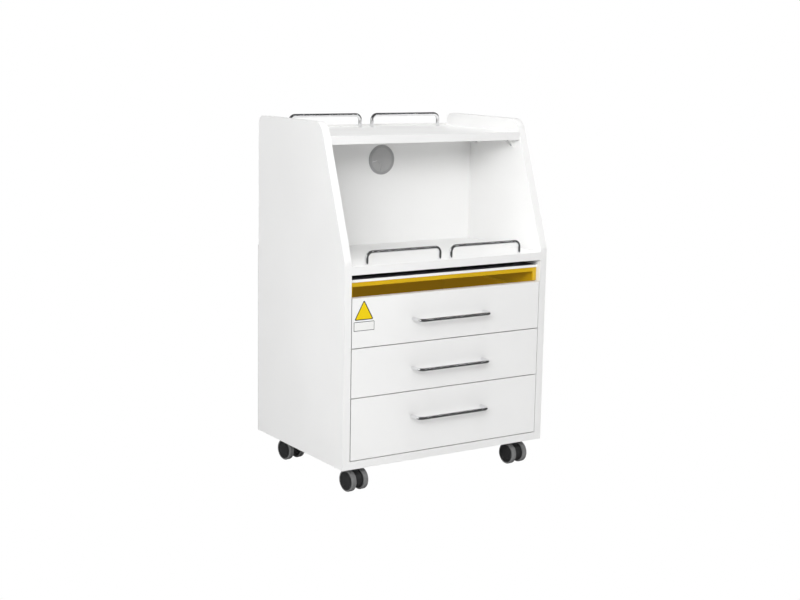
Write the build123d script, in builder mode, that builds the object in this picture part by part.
from build123d import *

import os
from math import cos, radians, sin

# A wheeled salon work cabinet: open niche over a UV slot and three drawers, on twin-wheel casters.
# Millimetres, +Z up. The origin is on the floor under the middle of the bounding box.
# The drawers open towards -Y, and X runs from the left side to the right side.

# ---- carcass ----
WIDTH = 550.0
DEPTH = 400.0
HEIGHT = 755.0
BOARD = 18.0
FLOOR_GAP = 63.0
HANDLE_REACH = 35.0
INLET_REACH = 14.0
REAR_BOARD = 3.0
FRONT = -(DEPTH + INLET_REACH - HANDLE_REACH) / 2
BACK = FRONT + DEPTH
BOARD_BACK = BACK - REAR_BOARD
LEFT = -WIDTH / 2
RIGHT = WIDTH / 2
IN_LEFT = LEFT + BOARD
IN_RIGHT = RIGHT - BOARD
TOP = FLOOR_GAP + HEIGHT

# ---- side panel outline ----
SLOPE_START_Z = FLOOR_GAP + 460.0
SLOPE_TOP_Y = FRONT + 107.0
SLOPE_START_RADIUS = 35.0
TOP_FRONT_RADIUS = 35.0
TOP_BACK_RADIUS = 20.0

# ---- shelves and niche ----
WORKTOP_Z = FLOOR_GAP + 433.0
WORKTOP_TOP = WORKTOP_Z + BOARD
TOP_SHELF_Z = FLOOR_GAP + 706.5
TOP_SHELF_TOP = TOP_SHELF_Z + BOARD
TOP_SHELF_FRONT = FRONT + 93.0
NICHE_BACK_Y = FRONT + 292.0
NICHE_BACK_HOUSING = 5.0
UPSTAND = 5.5
UPSTAND_SCREWS = (-200.0, 0.0, 200.0)

# ---- UV slot ----
CARRIER_Z = FLOOR_GAP + 415.0
CARRIER_THICK = 6.0
CARRIER_FRONT = FRONT + 12.0
CARRIER_BACK = FRONT + 362.0
GROOVE_DEPTH = 5.0
HOOD_WALL = 4.0
HOOD_FRONT = FRONT + 14.0
HOOD_BACK = FRONT + 360.0
HOOD_SIDE_GAP = 0.5
HOOD_LIP = 10.0
HOOD_BOTTOM = FLOOR_GAP + 350.0
HOOD_BACK_BOTTOM = FLOOR_GAP + 376.0
LAMP_RADIUS = 8.0
LAMP_LENGTH = 288.0
LAMP_Y = FRONT + 200.0
LAMP_Z = CARRIER_Z - HOOD_WALL - 14.0
SOCKET_THICK = 14.0
SOCKET_WIDE = 22.0
SOCKET_GRIP = 6.0

# ---- drawers: number, lower and upper edge of the front, floor and rim of the box ----
DRAWERS = {
    1: (FLOOR_GAP + 272.3, FLOOR_GAP + 381.8, FLOOR_GAP + 284.0, FLOOR_GAP + 366.0),
    2: (FLOOR_GAP + 161.2, FLOOR_GAP + 270.3, FLOOR_GAP + 173.0, FLOOR_GAP + 255.0),
    3: (FLOOR_GAP + 20.0, FLOOR_GAP + 159.2, FLOOR_GAP + 32.0, FLOOR_GAP + 142.0),
}
FRONT_GAP = 2.0
HOOD_STEP_Y = FRONT + BOARD + 1.5
HOOD_STEP_Z = DRAWERS[1][1] + 2.0
BOX_BOARD = 12.0
BOX_BACK = FRONT + 368.0
SLIDE_SPACE = 13.0
BASE_THICK = 5.0
BASE_RAISE = 8.0
BASE_GROOVE = 6.0
BOX_SCREW_LOW = 30.0
BOX_SCREW_TOP = 14.0
BACK_SCREW = 32.0
TRAY_WALL = 3.0
TRAY_RIM = 2.0

# ---- telescopic slides ----
SLIDE_FRONT = FRONT + 20.0
SLIDE_LENGTH = 350.0
SLIDE_SHEET = 1.2
SLIDE_RAISE = 12.0
OUTER_HALF = 22.5
MIDDLE_HALF = 19.0
INNER_HALF = 15.5
OUTER_REACH = 10.0
MIDDLE_START = 2.6
MIDDLE_REACH = 11.0
INNER_START = 4.6
SLIDE_HOLES = (SLIDE_FRONT + 40.0, SLIDE_FRONT + 300.0)

# ---- U-shaped rods: the four rails and the three handles ----
ROD_RADIUS = 4.0
ROD_CENTRES = 192.0
ROD_BEND = 13.0
HANDLE_BELOW_TOP = 56.5
LOWER_RAIL_Y = FRONT + 17.0
LOWER_RAIL_HEIGHT = 27.5
LOWER_RAIL_X = {"left": -113.0, "right": 109.5}
UPPER_RAIL_Y = FRONT + 367.0
UPPER_RAIL_HEIGHT = 30.0
UPPER_RAIL_X = {"left": -113.0, "right": 113.0}
RAIL_SEAT = 1.5
ROD_SEAT_RADIUS = ROD_RADIUS + 0.1
M4_RADIUS = 2.0
M4_HEAD_RADIUS = 4.0
M4_HEAD = 2.4
M4_GRIP = 10.0

# ---- grommet in the niche back ----
GROMMET_X = -2.0
GROMMET_Z = FLOOR_GAP + 652.0
GROMMET_HOLE_RADIUS = 30.0
GROMMET_FLANGE_RADIUS = 35.3
GROMMET_FLANGE = 1.6
GROMMET_RECESS = 2.0
GROMMET_RECESS_RADIUS = 28.6
GROMMET_BORE_RADIUS = 26.0
GROMMET_SLEEVE = 15.0
CAP_RADIUS = 28.3
CAP_SPIGOT_RADIUS = 25.93
CAP_SPIGOT = 6.0
CAP_PLATE = 1.7
FLAP_START = 10.0
FLAP_HALF = 8.5
FLAP_FLARE = 0.63
FLAP_GAP = 0.7
FLAP_SINK = 0.5
FLAP_TONGUE = 5.0
FLAP_ANGLE = 226.0

# ---- casters: place, and how far each has swivelled at rest ----
CASTERS = {
    "front_left": (LEFT + 54.8, FRONT + 56.0, 7.0),
    "front_right": (RIGHT - 48.0, FRONT + 56.0, 5.0),
    "rear_left": (LEFT + 54.8, BACK - 53.0, 9.0),
    "rear_right": (RIGHT - 48.0, BACK - 53.0, 6.0),
}
WHEEL_RADIUS = 25.0
WHEEL_WIDTH = 12.5
WHEEL_OFFSET = 17.0
HUB_RADIUS = 21.0
HUB_STAND_OUT = 0.4
TYRE_SHOULDER = 1.8
HUB_GROOVE_RADIUS = 15.5
HUB_GROOVE = 0.8
CASTER_TRAIL = 12.0
CASTER_FENDER = (60.0, 40.0)
FENDER_HALF = 22.0
AXLE_RADIUS = 4.0
AXLE_HALF = 19.0
AXLE_BORE = 4.05
KINGPIN_RADIUS = 4.0
PIN_DEPTH = 14.0
PLATE_SIZE = 42.0
PLATE_THICK = 2.5
PLATE_BOSS_RADIUS = 11.0
PLATE_BOSS = 6.0
PLATE_HOLES = 32.0

# ---- small fasteners and fittings ----
SCREW_RADIUS = 1.75
SCREW_HEAD_RADIUS = 3.4
SCREW_HEAD = 1.8
CAM_RADIUS = 7.5
CAM_DEPTH = 12.5
CAM_EDGE = 34.0
BOLT_RADIUS = 3.0
BOLT_BITE = 10.0
BRACKET_LEG = 20.0
BRACKET_WIDE = 16.0
BRACKET_SHEET = 2.5
BRACKET_HOLE = 13.0
BRACKET_Y = (FRONT + 122.0, FRONT + 262.0)
CAM_Y = (FRONT + 60.0, FRONT + 340.0)
CAM_Z = (WORKTOP_TOP + 55.0, TOP_SHELF_Z - 55.0)

# ---- mains parts ----
BALLAST_X = (-75.0, 75.0)
BALLAST_Z = (FLOOR_GAP + 377.0, FLOOR_GAP + 409.0)
BALLAST_FRONT = BOARD_BACK - 24.0
INLET_X = (LEFT + 5.0, LEFT + 61.0)
INLET_Z = (FLOOR_GAP + 99.0, FLOOR_GAP + 126.5)
INLET_BODY_X = (LEFT + 22.0, LEFT + 56.0)
INLET_FLANGE = 4.0
INLET_INSIDE = 20.0
LEAD_RADIUS = 2.5
LEAD_HOLE = 3.5
LEAD_BEND = 8.0

CENTRED = (Align.CENTER, Align.CENTER, Align.MIN)

os.makedirs("parts", exist_ok=True)


def save(built, name):
    """Labels a finished piece and writes it."""
    built.part.label = name
    export_step(built.part, f"parts/{name}.step")


def save_group(pieces, name):
    """Writes several solids that touch without being one piece, as one group."""
    export_step(Compound(children=pieces, label=name), f"parts/{name}.step")


def slab(x, y, z, mode=Mode.ADD):
    """A block from its limits along each axis, in the part being built."""
    with Locations([(sum(x) / 2, sum(y) / 2, sum(z) / 2)]):
        Box(x[1] - x[0], y[1] - y[0], z[1] - z[0], mode=mode)


def peg(start, direction, radius, length, mode=Mode.ADD):
    """A cylinder from a point along a direction, in the part being built."""
    with Locations(Plane(origin=start, z_dir=direction)):
        Cylinder(radius, length, align=CENTRED, mode=mode)


def screw(seat, inward, length, mode=Mode.ADD):
    """A pan-head wood screw: its head stands on the seat, its shank runs inward."""
    outward = [-value for value in inward]
    peg(seat, inward, SCREW_RADIUS, length, mode)
    if mode == Mode.ADD:
        peg(seat, outward, SCREW_HEAD_RADIUS, SCREW_HEAD, mode)


def machine_screw(seat, inward, length):
    """An M4 screw: head on the seat, shank inward."""
    outward = [-value for value in inward]
    peg(seat, inward, M4_RADIUS, length)
    peg(seat, outward, M4_HEAD_RADIUS, M4_HEAD)


# ---- where the fasteners go ----
slide_levels = {number: box[2] + SLIDE_RAISE + OUTER_HALF for number, box in DRAWERS.items()}
board_cams = [(y, z + BOARD / 2) for z in (FLOOR_GAP, WORKTOP_Z) for y in CAM_Y]
niche_cams = [(NICHE_BACK_Y + BOARD / 2, z) for z in CAM_Z]
slide_screws = [(y, z) for z in slide_levels.values() for y in SLIDE_HOLES]
bracket_drop = TOP_SHELF_Z - BRACKET_HOLE
bracket_screws = [(y, bracket_drop) for y in BRACKET_Y]
rear_screws = [(x, z) for x in (LEFT + BOARD / 2, RIGHT - BOARD / 2)
               for z in (FLOOR_GAP + 30.0, FLOOR_GAP + 220.0, FLOOR_GAP + 410.0)]
rear_screws += [(x, z) for x in (-150.0, 150.0)
                for z in (FLOOR_GAP + BOARD / 2, WORKTOP_Z + BOARD / 2)]


# ---- side panels ----
def side_panel(name, outer_x, inward):
    """One side board; inward is +1 for the left board and -1 for the right one."""
    inner_x = outer_x + inward * BOARD
    with BuildPart() as panel:
        with BuildSketch(Plane.YZ.offset(outer_x)) as outline:
            with BuildLine():
                Polyline((FRONT, FLOOR_GAP), (BOARD_BACK, FLOOR_GAP), (BOARD_BACK, TOP),
                         (SLOPE_TOP_Y, TOP), (FRONT, SLOPE_START_Z), close=True)
            make_face()
            for corner, radius in (((FRONT, SLOPE_START_Z), SLOPE_START_RADIUS),
                                   ((SLOPE_TOP_Y, TOP), TOP_FRONT_RADIUS),
                                   ((BOARD_BACK, TOP), TOP_BACK_RADIUS)):
                fillet(outline.vertices().sort_by_distance(corner)[0], radius=radius)
        extrude(amount=inward * BOARD)
        for y, z in board_cams + niche_cams:
            peg((inner_x, y, z), (-inward, 0, 0), BOLT_RADIUS, BOLT_BITE, Mode.SUBTRACT)
        for y, z in slide_screws + bracket_screws:
            peg((inner_x, y, z), (-inward, 0, 0), SCREW_RADIUS, BOLT_BITE, Mode.SUBTRACT)
        for x, z in rear_screws:
            if abs(x - outer_x) < BOARD:
                peg((x, BOARD_BACK, z), (0, -1, 0), SCREW_RADIUS, BOARD, Mode.SUBTRACT)
        groove = sorted((inner_x, inner_x - inward * GROOVE_DEPTH))
        slab(groove, (CARRIER_FRONT, CARRIER_BACK), (CARRIER_Z, CARRIER_Z + CARRIER_THICK), Mode.SUBTRACT)
    save(panel, name)


side_panel("left_side_panel", LEFT, 1)
side_panel("right_side_panel", RIGHT, -1)


# ---- horizontal boards ----
def cut_cam_seats(places, recess_start, recess_direction):
    """Cuts both ends of a board for its cam locks: a bolt hole and a cam recess at each place."""
    for y, z in places:
        for end_x, inward in ((IN_LEFT, 1), (IN_RIGHT, -1)):
            peg((end_x, y, z), (inward, 0, 0), BOLT_RADIUS, CAM_EDGE, Mode.SUBTRACT)
            cam = recess_start(end_x + inward * CAM_EDGE, y, z)
            peg(cam, recess_direction, CAM_RADIUS, CAM_DEPTH, Mode.SUBTRACT)


def under_board(x, y, z):
    """The point on a shelf's underside below a cam lock."""
    return (x, y, z - BOARD / 2)


def behind_board(x, y, z):
    """The point on the niche back's rear face behind a cam lock."""
    return (x, y + BOARD / 2, z)


def corner_points(spacing):
    """The four corners of a square around the middle."""
    half = spacing / 2
    return [(x, y) for x in (-half, half) for y in (-half, half)]


def caster_screw_points():
    """The places of the sixteen caster plate screws."""
    places = []
    for x, y, _ in CASTERS.values():
        places += [(x + dx, y + dy) for dx, dy in corner_points(PLATE_HOLES)]
    return places


def rod_feet(middles, y):
    """The feet of a row of rails, from the rails' middles along X."""
    return [(x + side * ROD_CENTRES / 2, y) for x in middles.values() for side in (-1, 1)]


lower_feet = rod_feet(LOWER_RAIL_X, LOWER_RAIL_Y)
upper_feet = rod_feet(UPPER_RAIL_X, UPPER_RAIL_Y)

with BuildPart() as bottom_panel:
    slab((IN_LEFT, IN_RIGHT), (FRONT, BOARD_BACK), (FLOOR_GAP, FLOOR_GAP + BOARD))
    cut_cam_seats(board_cams[:2], under_board, (0, 0, 1))
    for x, y in caster_screw_points():
        peg((x, y, FLOOR_GAP), (0, 0, 1), SCREW_RADIUS, CAM_DEPTH, Mode.SUBTRACT)
    for x, z in rear_screws[6::2]:
        peg((x, BOARD_BACK, z), (0, -1, 0), SCREW_RADIUS, BOARD, Mode.SUBTRACT)
save(bottom_panel, "bottom_panel")

with BuildPart() as worktop_shelf:
    slab((IN_LEFT, IN_RIGHT), (FRONT, BOARD_BACK), (WORKTOP_Z, WORKTOP_TOP))
    cut_cam_seats(board_cams[2:], under_board, (0, 0, 1))
    for x, y in lower_feet:
        peg((x, y, WORKTOP_Z), (0, 0, 1), M4_RADIUS, BOARD, Mode.SUBTRACT)
        peg((x, y, WORKTOP_TOP), (0, 0, -1), ROD_SEAT_RADIUS, RAIL_SEAT, Mode.SUBTRACT)
    slab((IN_LEFT, IN_RIGHT), (NICHE_BACK_Y, NICHE_BACK_Y + BOARD),
         (WORKTOP_TOP - NICHE_BACK_HOUSING, WORKTOP_TOP), Mode.SUBTRACT)
    for x, z in rear_screws[7::2]:
        peg((x, BOARD_BACK, z), (0, -1, 0), SCREW_RADIUS, BOARD, Mode.SUBTRACT)
save(worktop_shelf, "worktop_shelf")

with BuildPart() as top_shelf:
    slab((IN_LEFT, IN_RIGHT), (TOP_SHELF_FRONT, BOARD_BACK), (TOP_SHELF_Z, TOP_SHELF_TOP))
    for x, y in upper_feet:
        peg((x, y, TOP_SHELF_Z), (0, 0, 1), M4_RADIUS, BOARD, Mode.SUBTRACT)
        peg((x, y, TOP_SHELF_TOP), (0, 0, -1), ROD_SEAT_RADIUS, RAIL_SEAT, Mode.SUBTRACT)
    for x in UPSTAND_SCREWS:
        peg((x, BOARD_BACK, TOP_SHELF_Z + BOARD / 2), (0, -1, 0), SCREW_RADIUS, BOARD, Mode.SUBTRACT)
    for y in BRACKET_Y:
        for x in (IN_LEFT + BRACKET_HOLE, IN_RIGHT - BRACKET_HOLE):
            peg((x, y, TOP_SHELF_Z), (0, 0, 1), SCREW_RADIUS, BOLT_BITE, Mode.SUBTRACT)
save(top_shelf, "top_shelf")

with BuildPart() as niche_back_panel:
    slab((IN_LEFT, IN_RIGHT), (NICHE_BACK_Y, NICHE_BACK_Y + BOARD),
         (WORKTOP_TOP - NICHE_BACK_HOUSING, TOP_SHELF_Z))
    peg((GROMMET_X, NICHE_BACK_Y, GROMMET_Z), (0, 1, 0), GROMMET_HOLE_RADIUS, BOARD, Mode.SUBTRACT)
    cut_cam_seats(niche_cams, behind_board, (0, -1, 0))
save(niche_back_panel, "niche_back_panel")

with BuildPart() as rear_panel:
    slab((LEFT, RIGHT), (BOARD_BACK, BACK), (FLOOR_GAP, WORKTOP_TOP))
    slab(INLET_BODY_X, (BOARD_BACK, BACK), INLET_Z, Mode.SUBTRACT)
    for x, z in rear_screws:
        peg((x, BOARD_BACK, z), (0, 1, 0), SCREW_RADIUS, REAR_BOARD, Mode.SUBTRACT)
    for x in (BALLAST_X[0] + 10.0, BALLAST_X[1] - 10.0):
        peg((x, BOARD_BACK, sum(BALLAST_Z) / 2), (0, 1, 0), SCREW_RADIUS, REAR_BOARD, Mode.SUBTRACT)
with BuildPart() as shelf_upstand:
    slab((IN_LEFT, IN_RIGHT), (BOARD_BACK, BACK), (TOP_SHELF_Z, TOP_SHELF_TOP + UPSTAND))
    for x in UPSTAND_SCREWS:
        peg((x, BOARD_BACK, TOP_SHELF_Z + BOARD / 2), (0, 1, 0), SCREW_RADIUS, REAR_BOARD, Mode.SUBTRACT)
save_group([rear_panel.part, shelf_upstand.part], "rear_panel")

with BuildPart() as cam_locks:
    for y, z in board_cams + niche_cams:
        for end_x, inward in ((IN_LEFT, 1), (IN_RIGHT, -1)):
            bolt = CAM_EDGE - CAM_RADIUS - 0.3
            peg((end_x - inward * BOLT_BITE, y, z), (inward, 0, 0), BOLT_RADIUS, BOLT_BITE + bolt)
    for y, z in board_cams:
        for x in (IN_LEFT + CAM_EDGE, IN_RIGHT - CAM_EDGE):
            peg((x, y, z - BOARD / 2), (0, 0, 1), CAM_RADIUS, CAM_DEPTH)
            slab((x - 5.0, x + 5.0), (y - 0.8, y + 0.8), (z - BOARD / 2, z - BOARD / 2 + 2.0), Mode.SUBTRACT)
    for y, z in niche_cams:
        for x in (IN_LEFT + CAM_EDGE, IN_RIGHT - CAM_EDGE):
            peg((x, y + BOARD / 2, z), (0, -1, 0), CAM_RADIUS, CAM_DEPTH)
            slab((x - 5.0, x + 5.0), (y + BOARD / 2 - 2.0, y + BOARD / 2), (z - 0.8, z + 0.8), Mode.SUBTRACT)
save(cam_locks, "cam_locks")

with BuildPart() as shelf_corner_brackets:
    for wall_x, inward in ((IN_LEFT, 1), (IN_RIGHT, -1)):
        for y in BRACKET_Y:
            span_y = (y - BRACKET_WIDE / 2, y + BRACKET_WIDE / 2)
            foot = sorted((wall_x, wall_x + inward * BRACKET_LEG))
            leg = sorted((wall_x, wall_x + inward * BRACKET_SHEET))
            slab(foot, span_y, (TOP_SHELF_Z - BRACKET_SHEET, TOP_SHELF_Z))
            slab(leg, span_y, (TOP_SHELF_Z - BRACKET_LEG, TOP_SHELF_Z))
            for rib_y in (span_y[0] + BRACKET_SHEET / 2, span_y[1] - BRACKET_SHEET / 2):
                with BuildSketch(Plane.XZ.offset(-rib_y)):
                    with BuildLine():
                        Polyline((wall_x, TOP_SHELF_Z), (wall_x + inward * BRACKET_LEG, TOP_SHELF_Z),
                                 (wall_x, TOP_SHELF_Z - BRACKET_LEG), close=True)
                    make_face()
                extrude(amount=BRACKET_SHEET / 2, both=True)
            peg((wall_x, y, bracket_drop), (inward, 0, 0), SCREW_RADIUS, BRACKET_SHEET, Mode.SUBTRACT)
            peg((wall_x + inward * BRACKET_HOLE, y, TOP_SHELF_Z - BRACKET_SHEET), (0, 0, 1),
                SCREW_RADIUS, BRACKET_SHEET, Mode.SUBTRACT)
save(shelf_corner_brackets, "shelf_corner_brackets")


# ---- UV slot above drawer 1: carrier panel, yellow hood, lamp and its gear ----
hood_top = CARRIER_Z
hood_left = IN_LEFT + HOOD_SIDE_GAP
hood_right = IN_RIGHT - HOOD_SIDE_GAP
lamp_half = LAMP_LENGTH / 2
socket_x = lamp_half - SOCKET_GRIP + SOCKET_THICK / 2
hood_screws = [(x, y) for x in (hood_left + 15.0, hood_right - 15.0)
               for y in (HOOD_FRONT + 30.0, HOOD_BACK - 30.0)]

with BuildPart() as hood_carrier_panel:
    slab((IN_LEFT - GROOVE_DEPTH, IN_RIGHT + GROOVE_DEPTH), (CARRIER_FRONT, CARRIER_BACK),
         (CARRIER_Z, CARRIER_Z + CARRIER_THICK))
    for x in (-socket_x, socket_x):
        peg((x, LAMP_Y, CARRIER_Z), (0, 0, 1), LEAD_HOLE, CARRIER_THICK, Mode.SUBTRACT)
    for x, y in hood_screws:
        peg((x, y, CARRIER_Z), (0, 0, 1), SCREW_RADIUS, CARRIER_THICK - 1.0, Mode.SUBTRACT)
save(hood_carrier_panel, "hood_carrier_panel")

with BuildPart() as uv_hood:
    slab((hood_left, hood_right), (HOOD_FRONT, HOOD_BACK), (hood_top - HOOD_WALL, hood_top))
    for wall in ((hood_left, hood_left + HOOD_WALL), (hood_right - HOOD_WALL, hood_right)):
        slab(wall, (HOOD_FRONT, HOOD_BACK), (HOOD_STEP_Z, hood_top))
        slab(wall, (HOOD_STEP_Y, HOOD_BACK), (HOOD_BOTTOM, hood_top))
    slab((hood_left, hood_right), (HOOD_BACK - HOOD_WALL, HOOD_BACK), (HOOD_BACK_BOTTOM, hood_top))
    slab((hood_left, hood_right), (HOOD_FRONT, HOOD_FRONT + HOOD_WALL), (hood_top - HOOD_LIP, hood_top))
    for lip in ((hood_left, hood_left + HOOD_LIP), (hood_right - HOOD_LIP, hood_right)):
        slab(lip, (HOOD_FRONT, HOOD_FRONT + HOOD_WALL), (HOOD_STEP_Z, hood_top))
    for x in (-socket_x, socket_x):
        peg((x, LAMP_Y, hood_top - HOOD_WALL), (0, 0, 1), LEAD_HOLE, HOOD_WALL, Mode.SUBTRACT)
    for x, y in hood_screws:
        peg((x, y, hood_top - HOOD_WALL), (0, 0, 1), SCREW_RADIUS, HOOD_WALL, Mode.SUBTRACT)
save(uv_hood, "uv_hood")

with BuildPart() as uv_lamp_sockets:
    for side in (-1, 1):
        middle = side * socket_x
        slab((middle - SOCKET_THICK / 2, middle + SOCKET_THICK / 2),
             (LAMP_Y - SOCKET_WIDE / 2, LAMP_Y + SOCKET_WIDE / 2),
             (LAMP_Z - LAMP_RADIUS - 1.5, hood_top - HOOD_WALL))
        peg((side * (lamp_half - SOCKET_GRIP), LAMP_Y, LAMP_Z), (side, 0, 0),
            LAMP_RADIUS, SOCKET_GRIP, Mode.SUBTRACT)
save(uv_lamp_sockets, "uv_lamp_sockets")

with BuildPart() as uv_lamp_tube:
    peg((-lamp_half, LAMP_Y, LAMP_Z), (1, 0, 0), LAMP_RADIUS, LAMP_LENGTH)
save(uv_lamp_tube, "uv_lamp_tube")

with BuildPart() as uv_ballast:
    slab(BALLAST_X, (BALLAST_FRONT, BOARD_BACK), BALLAST_Z)
    fillet(uv_ballast.edges().filter_by(Axis.X).group_by(Axis.Y)[0], radius=3.0)
    for x in (BALLAST_X[0] + 10.0, BALLAST_X[1] - 10.0):
        peg((x, BOARD_BACK, sum(BALLAST_Z) / 2), (0, -1, 0), SCREW_RADIUS, BOLT_BITE, Mode.SUBTRACT)
save(uv_ballast, "uv_ballast")

inlet_middle = (sum(INLET_X) / 2, sum(INLET_Z) / 2)
with BuildPart() as power_inlet:
    slab(INLET_X, (BACK, BACK + INLET_FLANGE), INLET_Z)
    with BuildSketch(Plane.XZ.offset(-BACK - INLET_FLANGE)):
        with Locations([inlet_middle]):
            RectangleRounded(INLET_X[1] - INLET_X[0] - 8.0, INLET_Z[1] - INLET_Z[0] - 2.0, 3.0)
    extrude(amount=-(INLET_REACH - INLET_FLANGE))
    slab(INLET_BODY_X, (BOARD_BACK - INLET_INSIDE, BACK), INLET_Z)
    with BuildSketch(Plane.XZ.offset(-BACK - INLET_REACH)):
        with Locations([inlet_middle]):
            RectangleRounded(24.0, 16.5, 2.5)
    extrude(amount=16.0, mode=Mode.SUBTRACT)
    for dx, dz in ((-7.0, -2.0), (0.0, 2.0), (7.0, -2.0)):
        blade_x = inlet_middle[0] + dx
        blade_z = inlet_middle[1] + dz
        slab((blade_x - 1.0, blade_x + 1.0), (BACK + INLET_REACH - 17.0, BACK + INLET_REACH - 3.0),
             (blade_z - 2.0, blade_z + 2.0))
save(power_inlet, "power_inlet")


def lead(points):
    """A round cable along straight runs with rounded bends, in the part being built."""
    with BuildLine() as route:
        FilletPolyline(*points, radius=LEAD_BEND)
    start = Plane(origin=route.line @ 0, z_dir=route.line % 0)
    with BuildSketch(start) as section:
        Circle(LEAD_RADIUS)
    return sweep(section.sketch, path=route.line, mode=Mode.PRIVATE)


lead_y = BOARD_BACK - 10.0
lead_z = CARRIER_Z + CARRIER_THICK + 6.0
inlet_lead_x = sum(INLET_BODY_X) / 2
supply_lead = lead([(inlet_lead_x, lead_y, INLET_Z[1]), (inlet_lead_x, lead_y, sum(BALLAST_Z) / 2),
                    (BALLAST_X[0], lead_y, sum(BALLAST_Z) / 2)])
left_lead = lead([(-50.0, lead_y, BALLAST_Z[1]), (-50.0, lead_y, lead_z), (-socket_x, LAMP_Y, lead_z),
                  (-socket_x, LAMP_Y, hood_top - HOOD_WALL)])
right_lead = lead([(50.0, lead_y, BALLAST_Z[1]), (50.0, lead_y, lead_z), (socket_x, LAMP_Y, lead_z),
                   (socket_x, LAMP_Y, hood_top - HOOD_WALL)])
with BuildPart() as internal_lead:
    add(supply_lead)
    add(left_lead)
    add(right_lead)
save(internal_lead, "internal_lead")


# ---- rails: U-shaped rods standing on the two shelves ----
def rail(name, middle_x, y, shelf_top, height):
    """One guard rail, a bent rod with a tapped hole in each foot, let into its shelf."""
    foot_left = middle_x - ROD_CENTRES / 2
    foot_right = middle_x + ROD_CENTRES / 2
    foot_z = shelf_top - RAIL_SEAT
    bar_z = shelf_top + height
    with BuildPart() as rod:
        with BuildLine() as route:
            FilletPolyline((foot_left, y, foot_z), (foot_left, y, bar_z),
                           (foot_right, y, bar_z), (foot_right, y, foot_z), radius=ROD_BEND)
        with BuildSketch(Plane(origin=(foot_left, y, foot_z), z_dir=(0, 0, 1))):
            Circle(ROD_RADIUS)
        sweep(path=route.line)
        for x in (foot_left, foot_right):
            peg((x, y, foot_z), (0, 0, 1), M4_RADIUS, M4_GRIP, Mode.SUBTRACT)
    save(rod, name)


for place in ("left", "right"):
    rail(f"lower_rail_{place}", LOWER_RAIL_X[place], LOWER_RAIL_Y, WORKTOP_TOP, LOWER_RAIL_HEIGHT)
    rail(f"upper_rail_{place}", UPPER_RAIL_X[place], UPPER_RAIL_Y, TOP_SHELF_TOP, UPPER_RAIL_HEIGHT)

rail_screw_length = BOARD - RAIL_SEAT + M4_GRIP - 1.0
with BuildPart() as rail_screws:
    for x, y in lower_feet:
        machine_screw((x, y, WORKTOP_Z), (0, 0, 1), rail_screw_length)
    for x, y in upper_feet:
        machine_screw((x, y, TOP_SHELF_Z), (0, 0, 1), rail_screw_length)
save(rail_screws, "rail_screws")


# ---- cable grommet and its turning cap ----
with BuildPart() as grommet_ring:
    peg((GROMMET_X, NICHE_BACK_Y - GROMMET_FLANGE, GROMMET_Z), (0, 1, 0), GROMMET_FLANGE_RADIUS, GROMMET_FLANGE)
    fillet(grommet_ring.edges().filter_by(GeomType.CIRCLE).sort_by(Axis.Y)[0], radius=0.9)
    peg((GROMMET_X, NICHE_BACK_Y, GROMMET_Z), (0, 1, 0), GROMMET_HOLE_RADIUS, GROMMET_SLEEVE)
    peg((GROMMET_X, NICHE_BACK_Y - GROMMET_FLANGE, GROMMET_Z), (0, 1, 0),
        GROMMET_RECESS_RADIUS, GROMMET_RECESS, Mode.SUBTRACT)
    peg((GROMMET_X, NICHE_BACK_Y - GROMMET_FLANGE, GROMMET_Z), (0, 1, 0),
        GROMMET_BORE_RADIUS, GROMMET_FLANGE + GROMMET_SLEEVE, Mode.SUBTRACT)
save(grommet_ring, "grommet_ring")

cap_face_y = NICHE_BACK_Y - GROMMET_FLANGE
cap_back_y = cap_face_y + CAP_PLATE


def cap_plane(y):
    """A sketch plane across the cap, seen from the front."""
    return Plane(origin=(GROMMET_X, y, GROMMET_Z), x_dir=(1, 0, 0), z_dir=(0, -1, 0))


def flap_area(margin, mode=Mode.ADD):
    """The flap's outline, widening from its inner edge to beyond the cap; the margin grows it."""
    start = FLAP_START - margin
    end = 2 * CAP_RADIUS
    near = FLAP_HALF + margin
    far = near + (end - start) * FLAP_FLARE
    with PolarLocations(0, 1, start_angle=FLAP_ANGLE):
        Polygon((start, near), (start, -near), (end, -far), (end, far), align=None, mode=mode)


with BuildPart() as grommet_cap:
    peg((GROMMET_X, cap_face_y, GROMMET_Z), (0, 1, 0), CAP_RADIUS, CAP_PLATE)
    peg((GROMMET_X, cap_back_y, GROMMET_Z), (0, 1, 0), CAP_SPIGOT_RADIUS, CAP_SPIGOT)
    peg((GROMMET_X, cap_back_y, GROMMET_Z), (0, 1, 0), CAP_SPIGOT_RADIUS - 2.5, CAP_SPIGOT, Mode.SUBTRACT)
    with BuildSketch(cap_plane(cap_face_y)):
        flap_area(0.0)
    extrude(amount=-(CAP_PLATE + CAP_SPIGOT), mode=Mode.SUBTRACT)
with BuildPart() as grommet_flap:
    with BuildSketch(cap_plane(cap_face_y + FLAP_SINK)):
        Circle(CAP_RADIUS)
        flap_area(-FLAP_GAP, Mode.INTERSECT)
    extrude(amount=-(CAP_PLATE - FLAP_SINK))
    with BuildSketch(cap_plane(cap_back_y)):
        with PolarLocations(FLAP_START, 1, start_angle=FLAP_ANGLE):
            Rectangle(2 * FLAP_TONGUE, FLAP_HALF)
    extrude(amount=-1.2)
save_group([grommet_cap.part, grommet_flap.part], "grommet_cap")


# ---- telescopic slides ----
def channel(web_x, side, half, reach, level):
    """A C-shaped slide member; side is the way its flanges point along X."""
    web = sorted((web_x, web_x + side * SLIDE_SHEET))
    flange = sorted((web_x, web_x + side * reach))
    slide_y = (SLIDE_FRONT, SLIDE_FRONT + SLIDE_LENGTH)
    slab(web, slide_y, (level - half, level + half))
    slab(flange, slide_y, (level - half, level - half + SLIDE_SHEET))
    slab(flange, slide_y, (level + half - SLIDE_SHEET, level + half))


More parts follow.
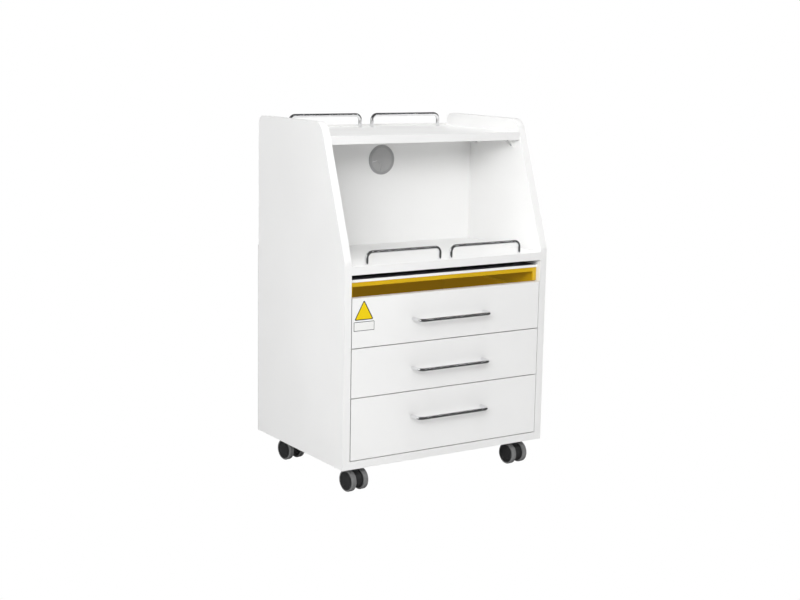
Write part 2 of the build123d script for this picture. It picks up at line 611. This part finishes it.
with BuildPart() as cabinet_slide_members:
    for level in slide_levels.values():
        for wall_x, inward in ((IN_LEFT, 1), (IN_RIGHT, -1)):
            channel(wall_x, inward, OUTER_HALF, OUTER_REACH, level)
            for y in SLIDE_HOLES:
                peg((wall_x, y, level), (inward, 0, 0), SCREW_RADIUS, SLIDE_SHEET, Mode.SUBTRACT)
save(cabinet_slide_members, "cabinet_slide_members")


# ---- drawers ----
def drawer(number):
    """One drawer: front, box, base, slide members, handle and screws."""
    low, high, box_floor, box_rim = DRAWERS[number]
    level = slide_levels[number]
    handle_z = high - HANDLE_BELOW_TOP
    handle_y = FRONT - HANDLE_REACH + ROD_RADIUS
    half = ROD_CENTRES / 2
    box_left = IN_LEFT + SLIDE_SPACE
    box_right = IN_RIGHT - SLIDE_SPACE
    base_z = box_floor + BASE_RAISE
    rear_y = FRONT + BOARD
    sides = ((box_left, 1), (box_right, -1))
    screw_levels = (box_floor + BOX_SCREW_LOW, box_rim - BOX_SCREW_TOP)
    back_middle = BOX_BACK - BOX_BOARD / 2

    with BuildPart() as front:
        slab((IN_LEFT + FRONT_GAP, IN_RIGHT - FRONT_GAP), (FRONT, rear_y), (low, high))
        for x in (-half, half):
            peg((x, FRONT, handle_z), (0, 1, 0), M4_RADIUS, BOARD, Mode.SUBTRACT)
        for outer_x, inward in sides:
            for z in screw_levels:
                peg((outer_x + inward * BOX_BOARD / 2, rear_y, z), (0, -1, 0), SCREW_RADIUS, BOLT_BITE,
                    Mode.SUBTRACT)
    save(front, f"drawer_{number}_front")

    groove_x = (box_left + BOX_BOARD - BASE_GROOVE, box_right - BOX_BOARD + BASE_GROOVE)
    boards = []
    for outer_x, inward in sides:
        with BuildPart() as side_board:
            slab(sorted((outer_x, outer_x + inward * BOX_BOARD)), (rear_y, BOX_BACK), (box_floor, box_rim))
            slab(groove_x, (rear_y, BOX_BACK), (base_z, base_z + BASE_THICK), Mode.SUBTRACT)
            for z in screw_levels:
                peg((outer_x + inward * BOX_BOARD / 2, rear_y, z), (0, 1, 0), SCREW_RADIUS, BOLT_BITE,
                    Mode.SUBTRACT)
                peg((outer_x, back_middle, z), (inward, 0, 0), SCREW_RADIUS, BOX_BOARD, Mode.SUBTRACT)
            for y in SLIDE_HOLES:
                peg((outer_x, y, level), (inward, 0, 0), SCREW_RADIUS, BOLT_BITE, Mode.SUBTRACT)
        boards.append(side_board.part)
    with BuildPart() as back_board:
        slab((box_left + BOX_BOARD, box_right - BOX_BOARD), (BOX_BACK - BOX_BOARD, BOX_BACK),
             (base_z + BASE_THICK, box_rim))
        for outer_x, inward in sides:
            for z in screw_levels:
                peg((outer_x, back_middle, z), (inward, 0, 0), SCREW_RADIUS, BACK_SCREW, Mode.SUBTRACT)
    boards.append(back_board.part)
    save_group(boards, f"drawer_{number}_box")

    with BuildPart() as base:
        slab(groove_x, (rear_y, BOX_BACK), (base_z, base_z + BASE_THICK))
    save(base, f"drawer_{number}_base")

    with BuildPart() as members:
        for outer_x, inward in sides:
            channel(outer_x, -inward, INNER_HALF, SLIDE_SPACE - INNER_START, level)
            for y in SLIDE_HOLES:
                peg((outer_x, y, level), (-inward, 0, 0), SCREW_RADIUS, SLIDE_SHEET, Mode.SUBTRACT)
    save(members, f"drawer_{number}_slide_members")

    with BuildPart() as middle_members:
        channel(IN_LEFT + MIDDLE_START, 1, MIDDLE_HALF, MIDDLE_REACH - MIDDLE_START, level)
        channel(IN_RIGHT - MIDDLE_START, -1, MIDDLE_HALF, MIDDLE_REACH - MIDDLE_START, level)
    save(middle_members, f"slide_{number}_middle_members")

    with BuildPart() as handle:
        with BuildLine() as route:
            FilletPolyline((-half, FRONT, handle_z), (-half, handle_y, handle_z),
                           (half, handle_y, handle_z), (half, FRONT, handle_z), radius=ROD_BEND)
        with BuildSketch(Plane(origin=(-half, FRONT, handle_z), z_dir=(0, -1, 0))):
            Circle(ROD_RADIUS)
        sweep(path=route.line)
        for x in (-half, half):
            peg((x, FRONT, handle_z), (0, -1, 0), M4_RADIUS, M4_GRIP, Mode.SUBTRACT)
    save(handle, f"drawer_{number}_handle")

    with BuildPart() as screws:
        for x in (-half, half):
            machine_screw((x, rear_y, handle_z), (0, -1, 0), BOARD + M4_GRIP - 1.0)
        for outer_x, inward in sides:
            for z in screw_levels:
                peg((outer_x + inward * BOX_BOARD / 2, rear_y - BOLT_BITE, z), (0, 1, 0),
                    SCREW_RADIUS, 2 * BOLT_BITE)
                peg((outer_x, back_middle, z), (inward, 0, 0), SCREW_RADIUS, BACK_SCREW)
            for y in SLIDE_HOLES:
                web_x = outer_x - inward * SLIDE_SHEET
                peg((web_x, y, level), (inward, 0, 0), SCREW_RADIUS, BOLT_BITE + SLIDE_SHEET)
                peg((web_x, y, level), (-inward, 0, 0), SCREW_HEAD_RADIUS, 1.0)
    save(screws, f"drawer_{number}_screws")


for drawer_number in DRAWERS:
    drawer(drawer_number)

tray_left = IN_LEFT + SLIDE_SPACE + BOX_BOARD + HOOD_SIDE_GAP
tray_right = -tray_left
tray_front = FRONT + BOARD + M4_HEAD + 1.0
tray_back = BOX_BACK - BOX_BOARD - HOOD_SIDE_GAP
tray_floor = DRAWERS[1][2] + BASE_RAISE + BASE_THICK
tray_rim = DRAWERS[1][3]
with BuildPart() as uv_tray:
    slab((tray_left, tray_right), (tray_front, tray_back), (tray_floor, tray_rim))
    slab((tray_left - BOX_BOARD, tray_right + BOX_BOARD), (tray_front, BOX_BACK - 1.0),
         (tray_rim, tray_rim + TRAY_RIM))
    slab((tray_left + TRAY_WALL, tray_right - TRAY_WALL), (tray_front + TRAY_WALL, tray_back - TRAY_WALL),
         (tray_floor + TRAY_WALL, tray_rim + TRAY_RIM), Mode.SUBTRACT)
save(uv_tray, "drawer_1_uv_tray")


# ---- casters ----
plate_low = FLOOR_GAP - PLATE_THICK
boss_low = plate_low - PLATE_BOSS
with BuildPart() as caster_plates:
    for x, y, _ in CASTERS.values():
        slab((x - PLATE_SIZE / 2, x + PLATE_SIZE / 2), (y - PLATE_SIZE / 2, y + PLATE_SIZE / 2),
             (plate_low, FLOOR_GAP))
        peg((x, y, plate_low), (0, 0, -1), PLATE_BOSS_RADIUS, PLATE_BOSS)
        peg((x, y, boss_low), (0, 0, 1), KINGPIN_RADIUS + 0.05, PLATE_BOSS + PLATE_THICK, Mode.SUBTRACT)
        peg((x, y, plate_low), (0, 0, 1), KINGPIN_RADIUS + 2.0, PLATE_THICK, Mode.SUBTRACT)
    for x, y in caster_screw_points():
        peg((x, y, plate_low), (0, 0, 1), SCREW_RADIUS, PLATE_THICK, Mode.SUBTRACT)
save(caster_plates, "caster_plates")

with BuildPart() as wood_screws:
    for x, y in caster_screw_points():
        screw((x, y, plate_low), (0, 0, 1), PLATE_THICK + CAM_DEPTH)
    for wall_x, inward in ((IN_LEFT, 1), (IN_RIGHT, -1)):
        for y, z in bracket_screws:
            screw((wall_x + inward * BRACKET_SHEET, y, z), (-inward, 0, 0), BOLT_BITE + BRACKET_SHEET)
            screw((wall_x + inward * BRACKET_HOLE, y, TOP_SHELF_Z - BRACKET_SHEET), (0, 0, 1),
                  BOLT_BITE + BRACKET_SHEET)
        for y, z in slide_screws:
            peg((wall_x + inward * SLIDE_SHEET, y, z), (-inward, 0, 0), SCREW_RADIUS, BOLT_BITE + SLIDE_SHEET)
            peg((wall_x + inward * SLIDE_SHEET, y, z), (inward, 0, 0), SCREW_HEAD_RADIUS, 1.0)
    for x, z in rear_screws:
        screw((x, BACK, z), (0, -1, 0), REAR_BOARD + BOARD - 1.0)
    for x in UPSTAND_SCREWS:
        screw((x, BACK, TOP_SHELF_Z + BOARD / 2), (0, -1, 0), REAR_BOARD + BOARD - 1.0)
    for x in (BALLAST_X[0] + 10.0, BALLAST_X[1] - 10.0):
        screw((x, BACK, sum(BALLAST_Z) / 2), (0, -1, 0), REAR_BOARD + BOLT_BITE)
    for x, y in hood_screws:
        screw((x, y, hood_top - HOOD_WALL), (0, 0, 1), HOOD_WALL + CARRIER_THICK - 1.0)
save(wood_screws, "wood_screws")


def caster(name, x, y, swivel):
    """One twin-wheel caster below its plate: body with kingpin and axle, and two wheels."""
    angle = radians(swivel)
    along = (cos(angle), sin(angle), 0)
    back = (-sin(angle), cos(angle), 0)
    axle = (x - back[0] * CASTER_TRAIL, y - back[1] * CASTER_TRAIL, WHEEL_RADIUS)
    side_plane = Plane(origin=axle, x_dir=back, z_dir=along)
    stem_top = boss_low - 0.5 - WHEEL_RADIUS
    web_half = WHEEL_OFFSET - WHEEL_WIDTH / 2 - 0.75

    with BuildPart() as body:
        with BuildSketch(side_plane):
            Circle(WHEEL_RADIUS - 6.0)
            with BuildLine():
                Polyline((0, 0), (CASTER_TRAIL + 8.0, 0), (CASTER_TRAIL + 8.0, 12.0),
                         (CASTER_TRAIL + 7.0, stem_top), (CASTER_TRAIL - 9.0, stem_top), (-6.0, 18.0), close=True)
            make_face()
        extrude(amount=web_half, both=True)
        with BuildSketch(side_plane):
            with BuildLine():
                inner_arc = CenterArc((0, 0), WHEEL_RADIUS + 1.2, *CASTER_FENDER)
                outer_arc = CenterArc((0, 0), WHEEL_RADIUS + 3.2, *CASTER_FENDER)
                Line(inner_arc @ 0, outer_arc @ 0)
                Line(inner_arc @ 1, outer_arc @ 1)
            make_face()
        extrude(amount=FENDER_HALF, both=True)
        peg((x, y, boss_low - 0.5), (0, 0, -1), KINGPIN_RADIUS, PIN_DEPTH, Mode.SUBTRACT)
        peg([axle[i] - along[i] * web_half for i in range(3)], along, AXLE_RADIUS, 2 * web_half, Mode.SUBTRACT)
    with BuildPart() as kingpin:
        peg((x, y, boss_low - 0.5 - PIN_DEPTH), (0, 0, 1), KINGPIN_RADIUS, PIN_DEPTH + PLATE_BOSS + 1.1)
        peg((x, y, plate_low + 0.5), (0, 0, 1), KINGPIN_RADIUS + 1.5, PLATE_THICK - 0.9)
    with BuildPart() as axle_pin:
        peg([axle[i] - along[i] * AXLE_HALF for i in range(3)], along, AXLE_RADIUS, 2 * AXLE_HALF)
    save_group([body.part, kingpin.part, axle_pin.part], f"caster_{name}_body")

    for wheel_name, side in (("inner", 1), ("outer", -1)):
        outward = tuple(side * value for value in along)
        inner_face = [axle[i] + outward[i] * (WHEEL_OFFSET - WHEEL_WIDTH / 2) for i in range(3)]
        face_plane = Plane(origin=inner_face, z_dir=outward)
        with BuildPart() as wheel:
            with BuildSketch(face_plane):
                Circle(HUB_RADIUS)
            extrude(amount=WHEEL_WIDTH)
            with BuildSketch(face_plane):
                Circle(AXLE_BORE)
            extrude(amount=WHEEL_WIDTH - 4.0, mode=Mode.SUBTRACT)
            with BuildSketch(face_plane):
                Circle(HUB_RADIUS - 3.0)
                Circle(9.0, mode=Mode.SUBTRACT)
            extrude(amount=5.0, mode=Mode.SUBTRACT)
            with BuildSketch(face_plane.offset(WHEEL_WIDTH)):
                Circle(HUB_GROOVE_RADIUS + HUB_GROOVE)
                Circle(HUB_GROOVE_RADIUS, mode=Mode.SUBTRACT)
            extrude(amount=-HUB_GROOVE, mode=Mode.SUBTRACT)
        with BuildPart() as tread:
            with BuildSketch(face_plane):
                Circle(WHEEL_RADIUS)
                Circle(HUB_RADIUS, mode=Mode.SUBTRACT)
            extrude(amount=WHEEL_WIDTH - HUB_STAND_OUT)
            outer_edges = tread.edges().filter_by(GeomType.CIRCLE).group_by(SortBy.RADIUS)[-1]
            fillet(outer_edges, radius=TYRE_SHOULDER)
        save_group([wheel.part, tread.part], f"caster_{name}_{wheel_name}_wheel")


for caster_name, place in CASTERS.items():
    caster(caster_name, *place)
